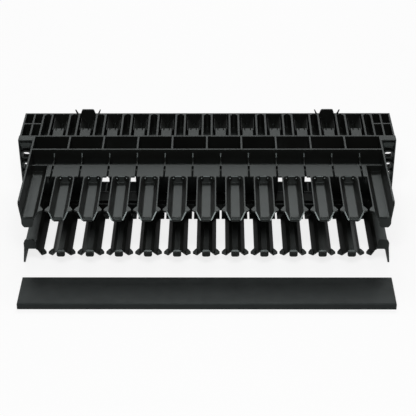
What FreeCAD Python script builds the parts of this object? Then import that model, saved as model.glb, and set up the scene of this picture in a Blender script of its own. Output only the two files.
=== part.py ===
"""Horizontal cable manager, two rack units high, for a 19-inch rack.

Frame: X runs along the rack's width, Y runs from the fingers (minus) to the back (plus), Z is up.
The origin is the centre of the rack-hole pattern on the front face of the two ears.
Everything above mid-height is mirrored below it, except the rear deck, which is on top only.
All lengths are millimetres.
"""
import FreeCAD, Part
import math
import os

from FreeCAD import Vector

# Length by which a piece runs into its neighbour, so the two fuse into one
SINK = 0.5

# Where the middle point of a two-step rounded corner lies, as a share of its radius
ROUND_SHARE = 0.3

# Finger pattern, which sets the body's width, and the ears, which bring it to the rack's width
PITCH = 35.0
GAP_COUNT = 12
END_FINGER_SIDE = 12.3
EAR_WIDTH = 19.0
OVERALL_HEIGHT = 88.1

# Rack-hole pattern
HOLE_INSET = 8.75
HOLE_HEIGHTS = (6.35, 22.225)
BLIND_BOSS_HEIGHT = 38.1
SLOT_LENGTH = 10.0
SLOT_HEIGHT = 7.0

# Ears
EAR_DEPTH = 11.3
EAR_RECESS = 4.5
EAR_PLATE_BACK = 8.0
EAR_RIM = 1.8
BOSS_WALL = 2.2

# Spine: the hollow wall box behind the cable duct
SPINE_BACK = 11.3
SPINE_FRONT = -24.0
WALL = 2.4
RIB = 2.2
SPINE_CELL_PITCH = 43.8
SPINE_DIVIDER_COUNT = 9
WINDOW_HALF_HEIGHT = 20.4
WINDOW_BACK_HALF_HEIGHT = 26.0
WINDOW_SPANS = ((91.0, 102.5), (125.0, 139.0))

# Rear deck
DECK_BACK = 69.6
DECK_SIDE_INSET = 0.7
DECK_DEPTH = 22.0
DECK_FLOOR = 2.0
POCKET_NARROW = 9.3
POCKET_WIDE = 20.9
POCKET_BACK = 67.4
POCKET_CORNER = (3.5, 4.0)
OUTER_CROSS_RIB_AT = 41.9

# Funnel inside each wide pocket
FUNNEL_HALF = 8.4
SHELF_END = 32.0
SHELF_DROP = 1.6
SHELF_HALF = 6.6
VALLEY_SIDE_DROP = 3.2
VALLEY_DEEP_DROP = 12.2
VALLEY_SLOT_WIDTH = 2.8
VALLEY_SLOT_DROP = 15.0
SHELF_NOTCH = (2.4, 4.5, 2.6)
FUNNEL_SKIN = 2.2

# Upright tabs at the rear edge
TAB_AT = 157.5
TAB_RISE = 6.3
TAB_HALF_WIDTHS = (9.7, 7.9)
TAB_ROUND = 1.6
PRONG_SPREAD = (13.3, 16.2)
PRONG_WIDTHS = (2.2, 1.2)

# Cable duct, and the blocks that carry the fingers
DUCT_HALF = 20.8
FLOOR_THICKNESS = 2.4
TROUGH_DEPTH = 8.6
PIT_DEPTH = 15.8
BLOCK_DEPTH = 30.2
BLOCK_MID_RIB_AT = 11.2
BLOCK_FRONT_WALL = 4.6
SLIT_WIDTH = 2.4
SLIT_BACK_GAP = 3.2
PLATE = 1.8
PLATE_SET_BACK = 2.0
GUSSET_WIDTH = 1.8
GUSSET_FLAT = 5.0
GUSSET_RISE = (3.0, 8.0)
GUSSET_KNEE = 2.0

# Fingers
FINGER_HALF = 12.0
RIM_THICKNESS = 1.5
FLOOR_HALF = 5.6
INNER_BEND = 1.2
ROOT_CORNER_FACET_COUNT = 4
OUTER_BEND = 2.6
ROOT_WALL_INSET = 1.7
ROOT_FLARE = 0.9
LEDGE_SIDE = 0.1
LEDGE_LENGTH = 1.3
LEDGE_HEIGHT = 1.6
FINGER_LENGTH = 81.5
TIP_SLANT = 5.5
TIP_EDGE = 1.6
HOOK_LENGTH = 11.8
HOOK_OVERHANG = 4.25
HOOK_TIP = (5.4, 3.2)
HOOK_THICKNESS = 1.8
HOOK_EASE = 1.6
HOOK_FRONT_EASE = (1.2, 1.0)
LIP_HEIGHT = 5.4
LIP_ROOT = 0.6
LIP_HALF = 5.0
LIP_THICKNESS = 1.8
LIP_ROUND = 2.2
LIP_BEAD = 0.7

# End fingers
END_WALL = 2.0
END_WALL_LEAN = 2.4
END_BEND = 3.0
END_TIP_SET_BACK = 5.7
END_WALL_ROUND = 3.6
END_PLATE_DROP = 11.8
END_PLATE_SHIFT = 0.6
END_PLATE_HALF = 6.7
END_PLATE_THICKNESS = 2.2
END_EDGE_ROUND = 1.5

# Cover
COVER_END_GAP = 3.3
COVER_DEPTH = 51.5
COVER_HEIGHT = 8.4
COVER_SKIN = 2.0
COVER_AWAY = 32.5
COVER_SHIFT = 1.0
COVER_CHAMFER = 1.2
LATCH_BEAD = 1.0
BEAD_END_GAP = 6.0

HALF_HEIGHT = OVERALL_HEIGHT / 2
HALF_BODY = GAP_COUNT * PITCH / 2 + END_FINGER_SIDE
HALF_WIDTH = HALF_BODY + EAR_WIDTH
DECK_HALF_WIDTH = HALF_WIDTH - DECK_SIDE_INSET
FINGER_COUNT = GAP_COUNT - 1
FLOOR_LEVEL = DUCT_HALF + FLOOR_THICKNESS
DECK_PLANE = FLOOR_LEVEL + TROUGH_DEPTH
BLOCK_BACK = SPINE_FRONT - PIT_DEPTH
BLOCK_MID_RIB = BLOCK_BACK - BLOCK_MID_RIB_AT
BLOCK_FRONT = BLOCK_BACK - BLOCK_DEPTH
PLATE_EDGE = BLOCK_FRONT + PLATE_SET_BACK
SLIT_BACK = BLOCK_BACK - SLIT_BACK_GAP
ROOT_WALL_FOOT = BLOCK_FRONT - ROOT_WALL_INSET
TIP = BLOCK_FRONT - FINGER_LENGTH
RIM_FRONT = TIP + TIP_SLANT
HOOK_BACK = RIM_FRONT + HOOK_LENGTH
LIP_RISE = FLOOR_LEVEL + LIP_HEIGHT
END_TIP = TIP + END_TIP_SET_BACK
COVER_BACK = TIP - COVER_AWAY


def block(x0, x1, y0, y1, z0, z1):
    """Box between the given limits."""
    return Part.makeBox(x1 - x0, y1 - y0, z1 - z0, Vector(x0, y0, z0))


def prism(points, direction):
    """Straight prism on a closed polygon."""
    wire = Part.makePolygon([Vector(*p) for p in points] + [Vector(*points[0])])
    return Part.Face(wire).extrude(Vector(*direction))


def prism_along_y(section, y0, y1):
    """Prism on an (x, z) polygon, between two Y planes."""
    return prism([(x, y0, z) for x, z in section], (0, y1 - y0, 0))


def prism_along_x(section, x0, x1):
    """Prism on a (y, z) polygon, between two X planes."""
    return prism([(x0, y, z) for y, z in section], (x1 - x0, 0, 0))


def fuse(shapes):
    """One shape from many that touch or overlap."""
    first, rest = shapes[0], shapes[1:]
    return first.multiFuse(rest) if rest else first


def flip_x(shape):
    return shape.mirror(Vector(0, 0, 0), Vector(1, 0, 0))


def flip_z(shape):
    return shape.mirror(Vector(0, 0, 0), Vector(0, 0, 1))


def both_sides(shapes):
    """The shapes and their mirror images left to right."""
    return list(shapes) + [flip_x(s) for s in shapes]


def gap_centres():
    """X of the finger gaps, from the left."""
    return [(i - (GAP_COUNT - 1) / 2) * PITCH for i in range(GAP_COUNT)]


def finger_centres():
    """X of the ordinary fingers, from the left."""
    return [(i - (FINGER_COUNT - 1) / 2) * PITCH for i in range(FINGER_COUNT)]


def slot_outline(x, z, length, height, y0, y1):
    """Round-ended bar along X, used for slots and the bosses round them."""
    r = height / 2
    a = length / 2 - r
    top = Part.LineSegment(Vector(x - a, y0, z + r), Vector(x + a, y0, z + r)).toShape()
    bottom = Part.LineSegment(Vector(x + a, y0, z - r), Vector(x - a, y0, z - r)).toShape()
    right = Part.Arc(Vector(x + a, y0, z + r), Vector(x + a + r, y0, z), Vector(x + a, y0, z - r)).toShape()
    left = Part.Arc(Vector(x - a, y0, z - r), Vector(x - a - r, y0, z), Vector(x - a, y0, z + r)).toShape()
    return Part.Face(Part.Wire([top, right, bottom, left])).extrude(Vector(0, y1 - y0, 0))


# ---------------------------------------------------------------- spine, ears and rear deck

def window_cuts():
    """Openings through the spine, taller in its back wall than in its front wall."""
    cuts = []
    for x0, x1 in WINDOW_SPANS:
        h = WINDOW_HALF_HEIGHT
        cuts.append(block(x0, x1, SPINE_FRONT - 1, SPINE_FRONT + WALL, -h, h))
        h = WINDOW_BACK_HALF_HEIGHT
        cuts.append(block(x0, x1, SPINE_FRONT + WALL, SPINE_BACK + 1, -h, h))
    return both_sides(cuts)


def spine():
    """Two long walls, their dividers and end walls, with the pass-through windows cut."""
    z0, z1 = -HALF_HEIGHT, HALF_HEIGHT
    parts = [
        block(-HALF_BODY, HALF_BODY, SPINE_BACK - WALL, SPINE_BACK, z0, z1),
        block(-HALF_BODY, HALF_BODY, SPINE_FRONT, SPINE_FRONT + WALL, z0, z1),
        block(-HALF_BODY, HALF_BODY, SPINE_FRONT, SPINE_BACK, -WALL / 2, WALL / 2),
    ]
    parts += both_sides([block(HALF_BODY - RIB, HALF_BODY, SPINE_FRONT, SPINE_BACK, z0, z1)])
    for i in range(SPINE_DIVIDER_COUNT):
        x = (i - (SPINE_DIVIDER_COUNT - 1) / 2) * SPINE_CELL_PITCH
        parts.append(block(x - RIB / 2, x + RIB / 2, SPINE_FRONT, SPINE_BACK, z0, z1))
    return fuse(parts).cut(window_cuts())


def ear():
    """Right-hand ear: a rimmed plate with three bosses in each half, the outermost one blind."""
    x0, x1 = HALF_BODY - RIB, HALF_WIDTH
    h = HALF_HEIGHT
    body = block(x0, x1, 0, EAR_DEPTH, -h, h)
    inner = (HALF_BODY, x1 - EAR_RIM)
    front = block(inner[0], inner[1], -1, EAR_RECESS, -h + EAR_RIM, h - EAR_RIM)
    back = block(inner[0], inner[1], EAR_PLATE_BACK, EAR_DEPTH + 1, -h + EAR_RIM, h - EAR_RIM)
    body = body.cut([front, back])
    x = HALF_WIDTH - HOLE_INSET
    boss = (SLOT_LENGTH + 2 * BOSS_WALL, SLOT_HEIGHT + 2 * BOSS_WALL, 0, EAR_PLATE_BACK)
    bosses = []
    slots = []
    for height in HOLE_HEIGHTS:
        for z in (-height, height):
            bosses.append(slot_outline(x, z, *boss))
            slots.append(slot_outline(x, z, SLOT_LENGTH, SLOT_HEIGHT, -1, EAR_DEPTH + 2))
    blind = slot_outline(x, BLIND_BOSS_HEIGHT, *boss)
    low = BLIND_BOSS_HEIGHT - SLOT_HEIGHT / 2 - BOSS_WALL
    y = EAR_PLATE_BACK - 1
    slope = prism_along_x([(-1, low), (y, h), (y, h + 2), (-1, h + 2)], x0, x1)
    blind = blind.cut(slope)
    bosses += [blind, flip_z(blind)]
    limits = block(x0, x1, 0, EAR_DEPTH, -h, h)
    bosses = [b.common(limits) for b in bosses]
    return fuse([body] + bosses).cut(slots)


def valley_height(offset, drop):
    """Height of the funnel's sloping side at this distance from its middle, lowered by drop."""
    slot = VALLEY_SLOT_WIDTH / 2
    share = (FUNNEL_HALF - offset) / (FUNNEL_HALF - slot)
    return HALF_HEIGHT - drop - VALLEY_SIDE_DROP - share * (VALLEY_DEEP_DROP - VALLEY_SIDE_DROP)


def funnel_pocket(x):
    """Cuts of a wide pocket: two side gutters, and a low shelf and V-shaped valley between them."""
    top = HALF_HEIGHT + 1
    floor = HALF_HEIGHT - DECK_DEPTH + DECK_FLOOR
    half = POCKET_WIDE / 2
    slot = VALLEY_SLOT_WIDTH / 2
    deep = HALF_HEIGHT - VALLEY_DEEP_DROP
    side = HALF_HEIGHT - VALLEY_SIDE_DROP
    section = [(x - FUNNEL_HALF - 1, side), (x - FUNNEL_HALF, side), (x - slot, deep), (x + slot, deep),
               (x + FUNNEL_HALF, side), (x + FUNNEL_HALF + 1, side), (x + FUNNEL_HALF + 1, top),
               (x - FUNNEL_HALF - 1, top)]
    cuts = [prism_along_y(section, SHELF_END, POCKET_BACK)]
    cuts.append(block(x - slot, x + slot, SHELF_END, POCKET_BACK, HALF_HEIGHT - VALLEY_SLOT_DROP, deep + 1))
    shelf = HALF_HEIGHT - SHELF_DROP
    cuts.append(block(x - FUNNEL_HALF, x + FUNNEL_HALF, SPINE_BACK, SHELF_END + 0.01, shelf, top))
    notch, length, depth = SHELF_NOTCH
    for s in (-1, 1):
        a, b = sorted((x + s * FUNNEL_HALF, x + s * half))
        cuts.append(block(a, b, SPINE_BACK, POCKET_BACK, floor, top))
        a, b = sorted((x + s * SHELF_HALF, x + s * half))
        cuts.append(block(a, b, SPINE_BACK, SHELF_END, floor, top))
        a, b = sorted((x + s * (SHELF_HALF - notch), x + s * (SHELF_HALF - notch - depth / 2)))
        cuts.append(block(a, b, SHELF_END - length, SHELF_END + 0.01, shelf - depth, top))
    return cuts


def funnel_hollow(x):
    """Space under a funnel, open at the deck's underside, that keeps the funnel a thin shell."""
    low = HALF_HEIGHT - DECK_DEPTH - 1
    wide = FUNNEL_HALF - FUNNEL_SKIN
    slot = VALLEY_SLOT_WIDTH / 2 + FUNNEL_SKIN
    keel = HALF_HEIGHT - VALLEY_SLOT_DROP - FUNNEL_SKIN
    section = [(x - wide, low), (x + wide, low), (x + wide, valley_height(wide, 1.4 * FUNNEL_SKIN)),
               (x + slot, keel), (x - slot, keel), (x - wide, valley_height(wide, 1.4 * FUNNEL_SKIN))]
    cuts = [prism_along_y(section, SHELF_END + FUNNEL_SKIN, POCKET_BACK - FUNNEL_SKIN)]
    narrow = SHELF_HALF - FUNNEL_SKIN
    cuts.append(block(x - narrow, x + narrow, SPINE_BACK + FUNNEL_SKIN, SHELF_END - FUNNEL_SKIN,
                      low, HALF_HEIGHT - SHELF_DROP - SHELF_NOTCH[2] - FUNNEL_SKIN))
    return cuts


def narrow_pocket(x):
    """Deep straight pocket whose far end is cut across its two corners."""
    half = POCKET_NARROW / 2
    across, along = POCKET_CORNER
    y0, y1 = SPINE_BACK, POCKET_BACK
    z = HALF_HEIGHT - DECK_DEPTH + DECK_FLOOR
    points = [(x - half, y0, z), (x + half, y0, z), (x + half, y1 - along, z),
              (x + half - across, y1, z), (x - half + across, y1, z), (x - half, y1 - along, z)]
    return prism(points, (0, 0, DECK_DEPTH))


def rear_tab(x):
    """Upright tab on the deck's rear wall, with a leaning prong on each side of it."""
    z0, z1 = HALF_HEIGHT - 1, HALF_HEIGHT + TAB_RISE
    a, b = TAB_HALF_WIDTHS
    r = TAB_ROUND
    section = [(x - a, z0), (x + a, z0), (x + a, HALF_HEIGHT), (x + b + 0.3, z1 - r),
               (x + b - 0.5, z1 - 0.4), (x + b - r, z1), (x - b + r, z1), (x - b + 0.5, z1 - 0.4),
               (x - b - 0.3, z1 - r),
               (x - a, HALF_HEIGHT)]
    shapes = [prism_along_y(section, POCKET_BACK, DECK_BACK)]
    for s in (-1, 1):
        low, high = (x + s * spread for spread in PRONG_SPREAD)
        wide, thin = (w / 2 for w in PRONG_WIDTHS)
        section = [(low - wide, z0), (low + wide, z0), (high + thin, z1 - 0.6), (high - thin, z1 - 0.6)]
        shapes.append(prism_along_y(section, POCKET_BACK, DECK_BACK))
    return shapes


def rear_deck():
    """Ribbed deck along the top of the back."""
    z0, z1 = HALF_HEIGHT - DECK_DEPTH, HALF_HEIGHT
    deck = block(-DECK_HALF_WIDTH, DECK_HALF_WIDTH, SPINE_BACK - WALL, DECK_BACK, z0, z1)
    cuts = []
    for x in gap_centres():
        cuts += funnel_pocket(x) + funnel_hollow(x)
    for x in finger_centres():
        cuts.append(narrow_pocket(x))
    edge = gap_centres()[-1] + POCKET_WIDE / 2 + RIB
    cuts_end = [narrow_pocket(edge + POCKET_NARROW / 2)]
    inner = edge + POCKET_NARROW + RIB
    outer = DECK_HALF_WIDTH - RIB
    middle = (inner + outer) / 2
    for a, b in ((inner, middle - RIB / 2), (middle + RIB / 2, outer)):
        for c, d in ((SPINE_BACK, OUTER_CROSS_RIB_AT - RIB / 2),
                     (OUTER_CROSS_RIB_AT + RIB / 2, POCKET_BACK)):
            cuts_end.append(block(a, b, c, d, z0 + DECK_FLOOR, z1 + 1))
    deck = deck.cut(cuts + both_sides(cuts_end))
    tabs = []
    for x in (-TAB_AT, TAB_AT):
        tabs += rear_tab(x)
    return fuse([deck] + tabs)


# ---------------------------------------------------------------- finger decks

def flank_slope():
    """How far a flank leans out for each millimetre that it rises."""
    return (FINGER_HALF - RIM_THICKNESS - FLOOR_HALF) / (DECK_PLANE - FLOOR_LEVEL)


def eased_corner(corner, low_side, high_side, size):
    """The two points that replace a sharp corner, size along the flat and size up the flank."""
    x, z = corner
    lean = flank_slope()
    length = math.hypot(lean, 1)
    flat = (x + low_side * size, z)
    steep = (x + high_side * size * lean / length, z + size / length)
    return [flat, steep]


def finger_bar(x):
    """Outer form of an ordinary finger, from the block's front to past its tip."""
    low, rim = DUCT_HALF, DECK_PLANE
    foot = FINGER_HALF - (rim - low) * flank_slope()
    right = eased_corner((x + foot, low), -1, 1, OUTER_BEND)
    left = eased_corner((x - foot, low), 1, -1, OUTER_BEND)
    section = right + [(x + FINGER_HALF, rim), (x - FINGER_HALF, rim)] + left[::-1]
    return prism_along_y(section, BLOCK_FRONT, TIP)


def trough_ring(x, reach, z):
    """Level outline of a trough: straight sides, with faceted round corners at its root."""
    inset = FLOOR_HALF - INNER_BEND
    corner_y = ROOT_WALL_FOOT - INNER_BEND
    ring = [(x + inset + reach, TIP - 1, z)]
    for i in range(2 * ROOT_CORNER_FACET_COUNT + 1):
        angle = math.pi * i / (2 * ROOT_CORNER_FACET_COUNT)
        side = inset if i <= ROOT_CORNER_FACET_COUNT else -inset
        ring.append((x + side + reach * math.cos(angle), corner_y + reach * math.sin(angle), z))
        if i == ROOT_CORNER_FACET_COUNT:
            ring.append((x - inset, corner_y + reach, z))
    ring.append((x - inset - reach, TIP - 1, z))
    return [Vector(*p) for p in ring]


def ring_solid(low, high):
    """Solid with flat sides between two level outlines whose matching edges are parallel."""
    faces = [Part.Face(Part.makePolygon(ring + [ring[0]])) for ring in (low, high)]
    for i in range(len(low)):
        j = (i + 1) % len(low)
        faces.append(Part.Face(Part.makePolygon([low[i], low[j], high[j], high[i], low[i]])))
    return Part.Solid(Part.makeShell(faces))


def finger_trough(x):
    """Hollow of an ordinary finger: sloping flanks that run round its root, with a flared rear edge."""
    floor, rim = FLOOR_LEVEL, DECK_PLANE + SINK
    lean = flank_slope()
    spread = (rim - floor) * lean
    step = INNER_BEND * 0.5
    levels = [(INNER_BEND * 0.5, floor), (INNER_BEND + step * lean, floor + step),
              (INNER_BEND + spread, rim)]
    rings = [trough_ring(x, reach, z) for reach, z in levels]
    tools = [ring_solid(low, high) for low, high in zip(rings, rings[1:])]
    flare = DECK_PLANE - ROOT_FLARE
    corner_y = ROOT_WALL_FOOT - INNER_BEND
    inset = FLOOR_HALF - INNER_BEND
    edge = ROOT_WALL_FOOT + (flare - floor) * lean
    outline = [(corner_y, flare), (edge, flare), (edge + ROOT_FLARE + SINK, rim), (corner_y, rim)]
    tools.append(prism_along_x(outline, x - inset, x + inset))
    return fuse(tools)


def end_section(inside):
    """(x, z) outline of the right-hand end finger: a leaning outer wall, a floor and one flank."""
    low, floor, rim, top = DUCT_HALF, FLOOR_LEVEL, DECK_PLANE, HALF_HEIGHT
    lean = END_WALL_LEAN / (top - low)
    foot = FINGER_HALF - (rim - low) * flank_slope()
    wall_floor = HALF_BODY - END_WALL - lean * (top - floor)
    outside = [(HALF_BODY - END_WALL_LEAN, low), (HALF_BODY, top), (HALF_BODY - END_WALL, top)]
    bend = [(wall_floor + lean * END_BEND, floor + END_BEND),
            (wall_floor - ROUND_SHARE * END_BEND, floor + ROUND_SHARE * END_BEND),
            (wall_floor - END_BEND, floor)]
    floor_edge = eased_corner((inside - FLOOR_HALF, floor), 1, -1, INNER_BEND)
    flank = floor_edge + [(inside - FINGER_HALF + RIM_THICKNESS, rim), (inside - FINGER_HALF, rim)]
    underside = eased_corner((inside - foot, low), 1, -1, OUTER_BEND)[::-1]
    return outside + bend + flank + underside


def end_finger():
    """Right-hand end finger: trough, root wall, outer wall back to the spine and the plate at its tip."""
    inside = gap_centres()[-1] + PITCH / 2
    section = end_section(inside)
    trough = prism_along_y(section, END_TIP, BLOCK_BACK)
    x = HALF_BODY
    lean = END_WALL_LEAN
    wall = [(x - lean, DUCT_HALF), (x, HALF_HEIGHT), (x - END_WALL, HALF_HEIGHT),
            (x - END_WALL - lean, DUCT_HALF)]
    parts = [trough, prism_along_y(wall, END_TIP, SPINE_FRONT + SINK)]
    parts.append(block(inside - FINGER_HALF, x - END_WALL - lean / 2, BLOCK_BACK - WALL, BLOCK_BACK,
                       DUCT_HALF, DECK_PLANE))
    parts.append(end_plate(inside))
    r = END_WALL_ROUND
    t, z = END_TIP, HALF_HEIGHT
    nose = [(t - 1, z + 1), (t - 1, z - r), (t, z - r), (t + ROUND_SHARE * r, z - ROUND_SHARE * r),
            (t + r, z), (t + r, z + 1)]
    e, f = END_EDGE_ROUND, FLOOR_LEVEL
    front = [(t - 1, f + 0.01), (t - 1, f - e), (t, f - e), (t + ROUND_SHARE * e, f - ROUND_SHARE * e),
             (t + e, f), (t + e, f + 0.01)]
    cutters = [prism_along_x(nose, inside, x + 1)]
    cutters.append(prism_along_x(front, inside - FLOOR_HALF, x - END_WALL - lean - END_BEND))
    return fuse(parts).cut(cutters)


def end_plate(inside):
    """Plate across the end finger's tip that hangs below its floor, rounded at its free corners."""
    z0, z1 = DUCT_HALF - END_PLATE_DROP, FLOOR_LEVEL - SINK
    a = inside - FLOOR_HALF
    b = HALF_BODY - END_WALL_LEAN
    centre = (a + b) / 2 + END_PLATE_SHIFT
    h = END_PLATE_HALF
    r = OUTER_BEND
    section = [(a + 0.5, z1), (b, z1), (b, z0 + 2 * r), (centre + h - ROUND_SHARE * r, z0 + 0.8 * r),
               (centre + h - r, z0), (centre - h + r, z0),
               (centre - h + ROUND_SHARE * r, z0 + 0.8 * r), (centre - h, z0 + 2 * r),
               (centre - h - 0.5, DUCT_HALF - r), (a, DUCT_HALF - 0.5)]
    return prism_along_y(section, END_TIP, END_TIP + END_PLATE_THICKNESS)


def tip_cutter():
    """Solid in front of the slanting line that ends every ordinary finger, from rim to floor."""
    far = TIP - 20
    top = HALF_HEIGHT + 1
    slope = (TIP - RIM_FRONT) / (DECK_PLANE - FLOOR_LEVEL)
    nose = FLOOR_LEVEL - DUCT_HALF - TIP_EDGE
    outline = [(RIM_FRONT - slope * (top - DECK_PLANE), top), (TIP, FLOOR_LEVEL),
               (TIP, DUCT_HALF + TIP_EDGE), (TIP + TIP_EDGE + nose, DUCT_HALF - nose),
               (far, DUCT_HALF - nose), (far, top)]
    return prism_along_x(outline, -HALF_WIDTH, HALF_WIDTH)


def hook(x, side):
    """Barb on a finger's rim that holds cables in the gap; side is +1 or -1."""
    root = x + side * (FINGER_HALF - RIM_THICKNESS)
    edge = x + side * FINGER_HALF
    reach = edge + side * HOOK_OVERHANG
    z = DECK_PLANE - HOOK_THICKNESS
    tip_back, tip_front = (RIM_FRONT + y for y in HOOK_TIP)
    out, back = HOOK_FRONT_EASE
    points = [(root, HOOK_BACK, z), (edge, HOOK_BACK, z),
              (edge + side * HOOK_EASE, HOOK_BACK - HOOK_EASE, z), (reach, tip_back, z),
              (reach, tip_front, z), (edge + side * out, RIM_FRONT + back, z),
              (edge - side * 0.3, RIM_FRONT, z), (root, RIM_FRONT, z)]
    return prism(points, (0, 0, HOOK_THICKNESS))


def lip(x):
    """Upright tongue with a bead, across a finger's tip, that the cover clips over."""
    z0, z1 = FLOOR_LEVEL - LIP_ROOT, LIP_RISE
    h, r = LIP_HALF, LIP_ROUND
    section = [(x - h, z0), (x + h, z0), (x + h, z1 - r), (x + h - ROUND_SHARE * r, z1 - ROUND_SHARE * r),
               (x + h - r, z1), (x - h + r, z1), (x - h + ROUND_SHARE * r, z1 - ROUND_SHARE * r),
               (x - h, z1 - r)]
    tongue = prism_along_y(section, TIP - LIP_THICKNESS, TIP + SINK)
    y = TIP - LIP_THICKNESS
    z = z1 - LIP_ROUND
    bead = prism_along_x([(y + 0.1, z - 1.6), (y - LIP_BEAD, z - 0.3), (y + 0.1, z + 0.4)], x - h, x + h)
    return tongue.fuse(bead)


def root_notch(x, y0, y1, top):
    """Clear space between two finger roots, bounded by their flanks, up to the given height."""
    low = DUCT_HALF - 1
    middle = PITCH / 2 - FINGER_HALF
    wide = middle + (DECK_PLANE - low) * flank_slope()
    narrow = middle + (DECK_PLANE - top) * flank_slope()
    return prism_along_y([(x - wide, low), (x + wide, low), (x + narrow, top), (x - narrow, top)], y0, y1)


def finger_block():
    """Ribbed tray behind the finger roots, open towards the duct, with a slit in line with each gap."""
    edge = gap_centres()[-1] + PITCH / 2 - FINGER_HALF
    shell = block(-edge, edge, BLOCK_FRONT, BLOCK_BACK, DUCT_HALF, DECK_PLANE)
    tray_front = BLOCK_FRONT + BLOCK_FRONT_WALL
    ceiling = DECK_PLANE - PLATE
    cuts = [block(-edge + WALL, edge - WALL, tray_front, BLOCK_BACK - WALL, DUCT_HALF - 1, ceiling)]
    half = SLIT_WIDTH / 2
    for x in gap_centres():
        cuts.append(root_notch(x, BLOCK_FRONT - 1, PLATE_EDGE, DECK_PLANE + 1))
        cuts.append(root_notch(x, BLOCK_FRONT - 1, tray_front + 0.01, ceiling))
        cuts.append(block(x - half, x + half, BLOCK_FRONT - 1, SLIT_BACK, ceiling - 1, DECK_PLANE + 1))
    parts = [shell.cut(cuts)]
    parts.append(block(-edge, edge, BLOCK_MID_RIB, BLOCK_MID_RIB + RIB, DUCT_HALF, ceiling))
    side = HALF_BODY - END_WALL_LEAN - END_WALL / 2
    parts.append(block(-side, side, BLOCK_BACK - WALL, SPINE_FRONT + SINK, DUCT_HALF, FLOOR_LEVEL))
    return fuse(parts)


def gusset(x):
    """Thin rib that ties the block's rear edge to the spine, at a gap's centre."""
    half = GUSSET_WIDTH / 2
    low, high = GUSSET_RISE
    wall = SPINE_FRONT + SINK
    flat = BLOCK_BACK + GUSSET_FLAT
    mid = (flat + SPINE_FRONT) / 2 + GUSSET_KNEE
    outline = [(BLOCK_BACK - 1, DUCT_HALF + 1), (wall, DUCT_HALF + 1), (wall, DECK_PLANE + high),
               (mid, DECK_PLANE + low), (flat, DECK_PLANE), (BLOCK_BACK - 1, DECK_PLANE)]
    return prism_along_x(outline, x - half, x + half)


def finger_deck():
    """Upper row of fingers with the block that joins them to the spine."""
    cutter = tip_cutter()
    parts = [finger_block()] + [finger_bar(x).cut(cutter) for x in finger_centres()]
    solid = fuse(parts).cut([finger_trough(x) for x in finger_centres()])
    extras = both_sides([end_finger()])
    ledge = FLOOR_HALF + LEDGE_SIDE
    for x in finger_centres():
        extras.append(block(x - ledge, x + ledge, ROOT_WALL_FOOT - LEDGE_LENGTH, ROOT_WALL_FOOT + 2,
                            FLOOR_LEVEL - SINK, FLOOR_LEVEL + LEDGE_HEIGHT))
        extras += [hook(x, 1), hook(x, -1), lip(x)]
    inside = gap_centres()[-1] + PITCH / 2
    extras += both_sides([hook(inside, -1)])
    extras += [gusset(x) for x in gap_centres()]
    return fuse([solid] + extras)


def base():
    """The whole moulding: spine, ears, rear deck and both rows of fingers."""
    upper = finger_deck()
    shapes = [spine(), rear_deck(), upper, flip_z(upper)]
    shapes += both_sides([ear()])
    return fuse(shapes).removeSplitter()


def cover():
    """Clip-on cover lying face up on the ground in front of the fingers."""
    half = HALF_BODY - COVER_END_GAP
    y1 = COVER_BACK
    y0 = COVER_BACK - COVER_DEPTH
    z0 = -HALF_HEIGHT
    z1 = z0 + COVER_HEIGHT
    shell = block(-half, half, y0, y1, z0, z1)
    top_edges = [e for e in shell.Edges if e.BoundBox.ZMin > z1 - 0.01]
    shell = shell.makeChamfer(COVER_CHAMFER, top_edges)
    inside = block(-half + COVER_SKIN, half - COVER_SKIN, y0 + COVER_SKIN, y1 - COVER_SKIN,
                   z0 - 1, z1 - COVER_SKIN)
    shell = shell.cut(inside)
    beads = []
    reach = half - BEAD_END_GAP
    for y, side in ((y0 + COVER_SKIN, 1), (y1 - COVER_SKIN, -1)):
        outline = [(y - side * 0.2, z0 + 0.6), (y + side * LATCH_BEAD, z0 + 1.6),
                   (y - side * 0.2, z0 + 2.6)]
        beads.append(prism_along_x(outline, -reach, reach))
    lid = fuse([shell] + beads).removeSplitter()
    lid.translate(Vector(COVER_SHIFT, 0, 0))
    return lid


def save(name, shape):
    """Writes one node and prints what it holds."""
    solids = shape.Solids
    print(name, "solids", len(solids), "valid", shape.isValid(), "volume cm3", round(shape.Volume / 1000, 1))
    box = shape.BoundBox
    print("   x %.1f..%.1f  y %.1f..%.1f  z %.2f..%.2f" % (box.XMin, box.XMax, box.YMin, box.YMax,
                                                         box.ZMin, box.ZMax))
    shape = solids[0] if len(solids) == 1 else shape
    shape.exportStep(os.path.join("parts", name + ".step"))


os.makedirs("parts", exist_ok=True)
save("base", base())
save("cover", cover())
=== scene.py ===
"""Looks for the horizontal cable manager: satin black moulded plastic in a plain pale studio."""

import math

import bpy
from mathutils import Matrix, Vector


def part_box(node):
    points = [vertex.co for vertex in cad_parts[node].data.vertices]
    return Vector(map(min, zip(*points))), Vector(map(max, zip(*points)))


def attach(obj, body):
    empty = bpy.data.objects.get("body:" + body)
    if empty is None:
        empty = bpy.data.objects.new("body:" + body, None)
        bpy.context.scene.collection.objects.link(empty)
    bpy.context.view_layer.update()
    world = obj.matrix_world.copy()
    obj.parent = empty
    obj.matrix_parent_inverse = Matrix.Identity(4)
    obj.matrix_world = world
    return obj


MM = 0.001

# Camera: place and clipping in metres; pitch, turn and lean in degrees; lens and sensor in millimetres
CAMERA_PLACE = (0.015855, -1.342454, 0.834198)
CAMERA_PITCH = 33.674
CAMERA_YAW = 0.64
CAMERA_ROLL = -0.353
CAMERA_LENS = 105.55
CAMERA_SENSOR = 36.0
CAMERA_CLIP = (0.05, 60.0)

# Floor: half its side in metres, its two paper tones, and the share and strength of the white that rays
# to the background see in it; reflections in the part see a smaller share
FLOOR_REACH = 12.0
FLOOR_COLOUR = (0.92, 0.92, 0.92, 1.0)
FLOOR_MOTTLE = (0.8, 0.8, 0.8, 1.0)
FLOOR_GLOW = 0.72
FLOOR_GLOW_STRENGTH = 1.14
FLOOR_IN_REFLECTIONS = 0.15

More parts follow.
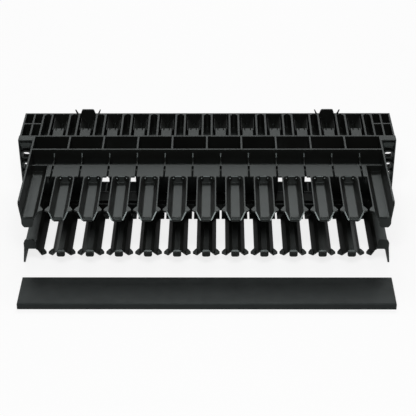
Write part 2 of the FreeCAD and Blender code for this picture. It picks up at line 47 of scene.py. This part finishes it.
# World: even light on surfaces, then what reflections see, a pale backdrop behind the part in a dim room.
# The backdrop comes in over the first span of the direction's Y and ends over the second span of its Z.
WHITE = 1.0
AMBIENT = 0.12
BACKDROP = 0.8
BACKDROP_SIDE = (0.0, 0.4)
BACKDROP_TOP = (0.35, 0.6)
ROOM = 0.048

# Lamps: name, place, what it points at, width and height, power; in metres and watts
LAMPS = (
    ("key", (0.0, -1.19, 1.71), (0, 0, 0), (0.9, 0.5), 15.0),
    ("overhead", (0.0, 1.34, 1.5), (0, -0.05, 0), (1.8, 0.6), 13.0),
)

# Plastic: two near-blacks, the tone of a rubbed edge, the tint of its shine, and how round its edges look
BASE_BLACK = (0.0105, 0.0108, 0.0098, 1)
COVER_BLACK = (0.0095, 0.0105, 0.0105, 1)
RUBBED = (0.03, 0.031, 0.03, 1)
REFLECTION_TINT = (0.87, 1.0, 0.985, 1.0)
PLASTIC_IOR = 1.5
EDGE_ROUND = 0.6 * MM

# Marks on the plastic: how often each repeats per metre and how deep it is; flow marks are a little lighter
FLOW_SCALE = 22.0
FLOW_LIFT = 1.25
FLOW_STRENGTH = 0.25
FLOW_DEPTH = 0.25 * MM
PATCH_SCALE = 95.0
GRAIN_SCALE = 1500.0
GRAIN_STRENGTH = 0.2
GRAIN_DEPTH = 0.03 * MM

# Wear: the cosines between which a rounded face fades from edge to flat, and the roughness a rub adds
EDGE_TURN = (0.86, 0.995)
RUB_ROUGHNESS = 0.08

# Fingers of the moulding, in millimetres: how many, their spacing, the cover's tongue in front of each tip,
# the rim and the floor above mid-height, the rim's half width and thickness, the flank's slope, and how far
# the tip slants back
FINGER_COUNT = 11
PITCH = 35.0
TONGUE = 2.5
RIM_HEIGHT, FLOOR_HEIGHT = 31.8, 23.2
RIM_HALF, RIM_WIDE = 12.0, 1.5
FLANK_LEAN = 4.9 / (RIM_HEIGHT - FLOOR_HEIGHT)
TIP_SLANT = 5.5

# Smooth edge along each slanting tip: steps, how far it stands out, how much less in height, and the
# direction (forwards, outwards) that its shading faces
TIP_EDGE_STEPS = 6
EDGE_PROUD = 0.1
EDGE_RISE_SHARE = 0.6
EDGE_FACING = (0.7, 0.714)

# Low round pads in the troughs' rear corners, in millimetres: their place, the ball they are cut from, the
# cap's half angle in degrees, and the steps of the mesh
PAD_FROM_TIP = 82.2
PAD_HEIGHT = 30.1
PAD_HALF_APART = 6.0
PAD_RADIUS = 4.6
PAD_CAP = 42.0
PAD_RINGS = 7
PAD_SIDES = 20


class Nodes:
    """Short calls for building one node tree."""

    def __init__(self, tree):
        self.tree = tree
        tree.nodes.clear()

    def add(self, kind, **settings):
        node = self.tree.nodes.new("ShaderNode" + kind)
        for name, value in settings.items():
            setattr(node, name, value)
        return node

    def link(self, source, target):
        self.tree.links.new(source, target)

    def put(self, socket, value):
        """Gives a socket a plain value, or a link where the value is another node's output."""
        if isinstance(value, bpy.types.NodeSocket):
            self.link(value, socket)
        else:
            socket.default_value = value

    def maths(self, operation, first, second=0.0, clamp=False):
        node = self.add("Math", operation=operation, use_clamp=clamp)
        self.put(node.inputs[0], first)
        self.put(node.inputs[1], second)
        return node.outputs[0]

    def noise(self, place, scale, detail=2.0, roughness=0.5):
        node = self.add("TexNoise")
        self.link(place, node.inputs["Vector"])
        node.inputs["Scale"].default_value = scale
        node.inputs["Detail"].default_value = detail
        node.inputs["Roughness"].default_value = roughness
        return node.outputs["Fac"]

    def spread(self, value, low, high, start=0.0, end=1.0):
        node = self.add("MapRange")
        self.put(node.inputs["Value"], value)
        node.inputs["From Min"].default_value = start
        node.inputs["From Max"].default_value = end
        node.inputs["To Min"].default_value = low
        node.inputs["To Max"].default_value = high
        return node.outputs["Result"]

    def mix(self, share, first, second):
        node = self.add("Mix", data_type="RGBA")
        self.put(node.inputs["Factor"], share)
        self.put(node.inputs["A"], first)
        self.put(node.inputs["B"], second)
        return node.outputs["Result"]


def new_material(name):
    """An empty node material and the short calls for it."""
    material = bpy.data.materials.new(name)
    material.use_nodes = True
    return material, Nodes(material.node_tree)


def plastic(name, colour, roughness, shine, grain=GRAIN_STRENGTH, edge_round=EDGE_ROUND):
    """Moulded plastic: rounded edges, faint flow marks, fine grain and slightly rubbed edges."""
    material, nodes = new_material(name)
    place = nodes.add("TexCoord").outputs["Object"]
    rounded = nodes.add("Bevel", samples=8)
    rounded.inputs["Radius"].default_value = edge_round
    face = nodes.add("NewGeometry").outputs["Normal"]
    turn = nodes.add("VectorMath", operation="DOT_PRODUCT")
    nodes.link(rounded.outputs["Normal"], turn.inputs[0])
    nodes.link(face, turn.inputs[1])
    edge = nodes.spread(turn.outputs["Value"], 1.0, 0.0, *EDGE_TURN)

    flow = nodes.noise(place, FLOW_SCALE, 3.0)
    fine = nodes.noise(place, GRAIN_SCALE, 2.0)
    patches = nodes.noise(place, PATCH_SCALE, 4.0, 0.6)

    rub = nodes.maths("MULTIPLY", edge, nodes.spread(patches, 0.0, 1.0, 0.42, 0.62), clamp=True)
    lighter = [c * FLOW_LIFT for c in colour[:3]] + [1]
    tone = nodes.mix(nodes.spread(flow, 0.0, 1.0, 0.35, 0.65), colour, lighter)
    tone = nodes.mix(rub, tone, RUBBED)

    rough = nodes.spread(patches, roughness - 0.03, roughness + 0.05, 0.3, 0.7)
    rough = nodes.maths("ADD", rough, nodes.maths("MULTIPLY", rub, RUB_ROUGHNESS))

    waves = nodes.add("Bump")
    waves.inputs["Strength"].default_value = FLOW_STRENGTH
    waves.inputs["Distance"].default_value = FLOW_DEPTH
    nodes.link(flow, waves.inputs["Height"])
    nodes.link(rounded.outputs["Normal"], waves.inputs["Normal"])
    bumps = nodes.add("Bump")
    bumps.inputs["Strength"].default_value = grain
    bumps.inputs["Distance"].default_value = GRAIN_DEPTH
    nodes.link(fine, bumps.inputs["Height"])
    nodes.link(waves.outputs["Normal"], bumps.inputs["Normal"])

    skin = nodes.add("BsdfPrincipled")
    nodes.link(tone, skin.inputs["Base Color"])
    nodes.link(rough, skin.inputs["Roughness"])
    nodes.link(bumps.outputs["Normal"], skin.inputs["Normal"])
    skin.inputs["IOR"].default_value = PLASTIC_IOR
    skin.inputs["Specular IOR Level"].default_value = shine
    skin.inputs["Specular Tint"].default_value = REFLECTION_TINT
    nodes.link(skin.outputs["BSDF"], nodes.add("OutputMaterial").inputs["Surface"])
    return material


def dress(node, material):
    """Puts one material on every slot of a part's node."""
    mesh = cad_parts[node].data
    for index in range(max(1, len(mesh.materials))):
        if len(mesh.materials) <= index:
            mesh.materials.append(material)
        mesh.materials[index] = material


def smooth_piece(name, points, faces, material, facing=None):
    """Piece that rides on the part, from points in millimetres; facing gives their shading directions."""
    mesh = bpy.data.meshes.new(name)
    mesh.from_pydata([[c * MM for c in p] for p in points], [], faces)
    mesh.update()
    mesh.materials.append(material)
    mesh.polygons.foreach_set("use_smooth", [True] * len(mesh.polygons))
    if facing:
        mesh.normals_split_custom_set_from_vertices(facing)
    piece = bpy.data.objects.new(name, mesh)
    bpy.context.scene.collection.objects.link(piece)
    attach(piece, "root")


def finger_corners():
    """Each finger's middle, its row (1 upper, -1 lower) and its side (1 right, -1 left)."""
    return [(x, row, side) for x in finger_places() for row in (1, -1) for side in (1, -1)]


def finger_places():
    """Middle of each ordinary finger, from the base's own box."""
    low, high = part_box("base")
    middle = (low.x + high.x) / 2 / MM
    return [middle + (i - (FINGER_COUNT - 1) / 2) * PITCH for i in range(FINGER_COUNT)]


def tip_front():
    """Y of the fingers' tips, behind the tongues that the cover clips over."""
    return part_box("base")[0].y / MM + TONGUE


def make_tip_edges(material):
    """Smooth moulded edge along the slanting end of each finger's flanks."""
    tip = tip_front()
    rise = EDGE_PROUD * EDGE_RISE_SHARE
    points, faces, facing = [], [], []
    for x, row, side in finger_corners():
        for i in range(TIP_EDGE_STEPS + 1):
            drop = (RIM_HEIGHT - FLOOR_HEIGHT) * i / TIP_EDGE_STEPS
            outer = RIM_HALF - drop * FLANK_LEAN
            y = tip + TIP_SLANT * (1 - i / TIP_EDGE_STEPS)
            z = RIM_HEIGHT - drop
            for across in (outer, outer - RIM_WIDE):
                points.append((x + side * across, y - EDGE_PROUD, row * (z + rise)))
                points.append((x + side * across, y + EDGE_PROUD, row * (z - rise)))
                facing += [(0, -EDGE_FACING[0], row * EDGE_FACING[1])] * 2
            if i:
                a = len(points) - 8
                for ring in ((a, a + 4, a + 6, a + 2), (a + 1, a + 3, a + 7, a + 5),
                             (a, a + 1, a + 5, a + 4), (a + 2, a + 6, a + 7, a + 3)):
                    faces.append(ring[::-1] if side * row > 0 else ring)
    smooth_piece("tip_edges", points, faces, material, facing)


def make_root_pads(material):
    """Low smooth pads in the two rear corners of each trough."""
    y = tip_front() + PAD_FROM_TIP
    across = Vector((1, 0, 0))
    points, faces = [], []
    for x, row, side in finger_corners():
        start = len(points)
        out = Vector((0, -EDGE_FACING[0], row * EDGE_FACING[1]))
        up = out.cross(across)
        centre = Vector((x + side * PAD_HALF_APART, y, row * PAD_HEIGHT))
        for ring in range(PAD_RINGS + 1):
            turn = math.radians(PAD_CAP) * ring / PAD_RINGS
            for k in range(PAD_SIDES):
                angle = 2 * math.pi * k / PAD_SIDES
                flat = (across * math.cos(angle) + up * math.sin(angle)) * math.sin(turn)
                points.append(tuple(centre + (flat + out * (math.cos(turn) - 1)) * PAD_RADIUS))
        for ring in range(PAD_RINGS):
            for k in range(PAD_SIDES):
                a = start + ring * PAD_SIDES + k
                b = start + ring * PAD_SIDES + (k + 1) % PAD_SIDES
                faces.append((a, a + PAD_SIDES, b + PAD_SIDES, b))
    smooth_piece("root_pads", points, faces, material)


def background_share(nodes, in_reflections=1.0):
    """1 for rays from the eye or through clear things, and a given share for those in reflections."""
    path = nodes.add("LightPath")
    seen = nodes.maths("MAXIMUM", path.outputs["Is Camera Ray"], path.outputs["Is Transmission Ray"])
    reflected = nodes.maths("MULTIPLY", path.outputs["Is Glossy Ray"], in_reflections)
    return nodes.maths("MAXIMUM", seen, reflected)


def make_floor(level):
    """Pale paper that takes the part's shadow and shows near white to the eye."""
    mesh = bpy.data.meshes.new("floor")
    corners = [(-1, -1), (1, -1), (1, 1), (-1, 1)]
    points = [(x * FLOOR_REACH, y * FLOOR_REACH, level) for x, y in corners]
    mesh.from_pydata(points, [], [(0, 1, 2, 3)])
    floor = bpy.data.objects.new("floor", mesh)
    bpy.context.scene.collection.objects.link(floor)
    material, nodes = new_material("floor_paper")
    paper = nodes.add("BsdfDiffuse")
    place = nodes.add("TexCoord").outputs["Object"]
    mottle = nodes.spread(nodes.noise(place, 3.0), 0.0, 0.02)
    nodes.link(nodes.mix(mottle, FLOOR_COLOUR, FLOOR_MOTTLE), paper.inputs["Color"])
    glow = nodes.add("Emission")
    glow.inputs["Strength"].default_value = FLOOR_GLOW_STRENGTH
    blend = nodes.add("MixShader")
    share = nodes.maths("MULTIPLY", background_share(nodes, FLOOR_IN_REFLECTIONS), FLOOR_GLOW)
    nodes.link(share, blend.inputs[0])
    nodes.link(paper.outputs[0], blend.inputs[1])
    nodes.link(glow.outputs[0], blend.inputs[2])
    nodes.link(blend.outputs[0], nodes.add("OutputMaterial").inputs["Surface"])
    mesh.materials.append(material)


def make_world():
    """Even light on the surfaces, a white backdrop to the eye, and a dim room in reflections."""
    world = bpy.data.worlds.new("studio")
    world.use_nodes = True
    bpy.context.scene.world = world
    nodes = Nodes(world.node_tree)
    sky = nodes.add("Background")
    sky.inputs["Color"].default_value = (1, 1, 1, 1)
    way = nodes.add("SeparateXYZ")
    nodes.link(nodes.add("TexCoord").outputs["Generated"], way.inputs[0])
    behind = nodes.spread(way.outputs["Y"], 0.0, 1.0, *BACKDROP_SIDE)
    low = nodes.spread(way.outputs["Z"], 1.0, 0.0, *BACKDROP_TOP)
    room = nodes.spread(nodes.maths("MULTIPLY", behind, low), ROOM, BACKDROP)
    reflected = nodes.add("Mix", data_type="FLOAT")
    nodes.put(reflected.inputs[0], background_share(nodes))
    nodes.put(reflected.inputs[2], AMBIENT)
    nodes.put(reflected.inputs[3], room)
    seen = nodes.add("Mix", data_type="FLOAT")
    nodes.put(seen.inputs[0], background_share(nodes, 0.0))
    nodes.put(seen.inputs[2], reflected.outputs[0])
    nodes.put(seen.inputs[3], WHITE)
    nodes.link(seen.outputs[0], sky.inputs["Strength"])
    nodes.link(sky.outputs[0], nodes.add("OutputWorld").inputs["Surface"])


def soft_light(name, place, target, size, power):
    """One rectangular area lamp."""
    light = bpy.data.lights.new(name, "AREA")
    light.shape = "RECTANGLE"
    light.size, light.size_y = size
    light.energy = power
    holder = bpy.data.objects.new(name, light)
    bpy.context.scene.collection.objects.link(holder)
    holder.location = place
    holder.rotation_mode = "QUATERNION"
    holder.rotation_quaternion = (Vector(target) - Vector(place)).to_track_quat("-Z", "Y")


def make_camera():
    """The view that the part is shown from."""
    pitch, yaw, roll = (math.radians(a) for a in (CAMERA_PITCH, CAMERA_YAW, CAMERA_ROLL))
    data = bpy.data.cameras.new("camera")
    data.sensor_width = CAMERA_SENSOR
    data.lens = CAMERA_LENS
    data.clip_start, data.clip_end = CAMERA_CLIP
    camera = bpy.data.objects.new("camera", data)
    bpy.context.scene.collection.objects.link(camera)
    upright = Matrix.Rotation(math.pi / 2 - pitch, 4, "X")
    lean = Matrix.Rotation(roll, 4, "Z")
    turned = Matrix.Translation(CAMERA_PLACE) @ Matrix.Rotation(yaw, 4, "Z")
    camera.matrix_world = turned @ upright @ lean
    bpy.context.scene.camera = camera


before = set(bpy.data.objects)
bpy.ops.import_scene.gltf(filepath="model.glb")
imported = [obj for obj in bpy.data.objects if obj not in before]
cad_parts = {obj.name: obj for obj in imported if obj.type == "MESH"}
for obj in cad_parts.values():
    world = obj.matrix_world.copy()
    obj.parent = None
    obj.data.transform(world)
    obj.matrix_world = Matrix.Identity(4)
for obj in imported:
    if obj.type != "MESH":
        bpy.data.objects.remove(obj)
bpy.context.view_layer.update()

dress("base", plastic("base_plastic", BASE_BLACK, roughness=0.34, shine=0.5))
dress("cover", plastic("cover_plastic", COVER_BLACK, roughness=0.50, shine=0.42))
make_tip_edges(plastic("edge_plastic", BASE_BLACK, roughness=0.24, shine=0.5, grain=0.1, edge_round=0.0))
make_root_pads(plastic("pad_plastic", BASE_BLACK, roughness=0.12, shine=0.6, grain=0.1, edge_round=0.0))

make_world()
make_floor(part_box("cover")[0].z)
for lamp in LAMPS:
    soft_light(*lamp)
make_camera()
bpy.context.scene.view_settings.view_transform = "Standard"
